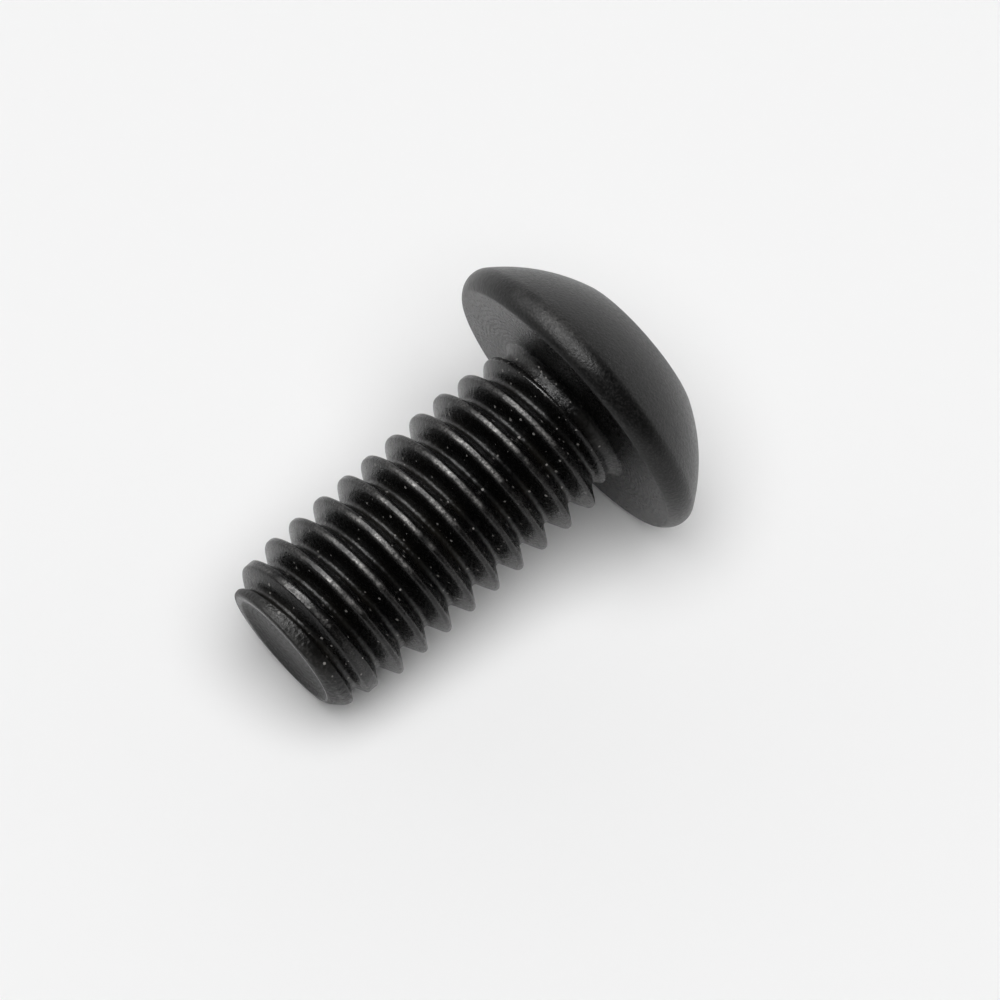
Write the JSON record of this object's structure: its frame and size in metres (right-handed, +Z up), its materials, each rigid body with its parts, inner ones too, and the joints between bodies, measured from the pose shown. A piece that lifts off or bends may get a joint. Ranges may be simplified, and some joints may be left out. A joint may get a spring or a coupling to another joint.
{
  "type": "button head bolt",
  "caption": "Short button head bolt in black oxide steel, with a flat bearing face, a hex drive socket in the dome and a right-hand metric thread up to the head.",
  "frame": {"origin": "on the table, under the middle of the bolt's box as it lies at rest", "axes": "+X along the bolt towards the head's dome, tilted up by the head's larger radius, +Z up"},
  "size_m": [0.0154, 0.0102, 0.01],
  "materials": {
    "black_oxide_steel": "satin black oxide on steel, slightly oily in the thread and worn brighter on the crests"
  },
  "bodies": {
    "root": {"bolt": "black_oxide_steel"}
  },
  "joints": []
}
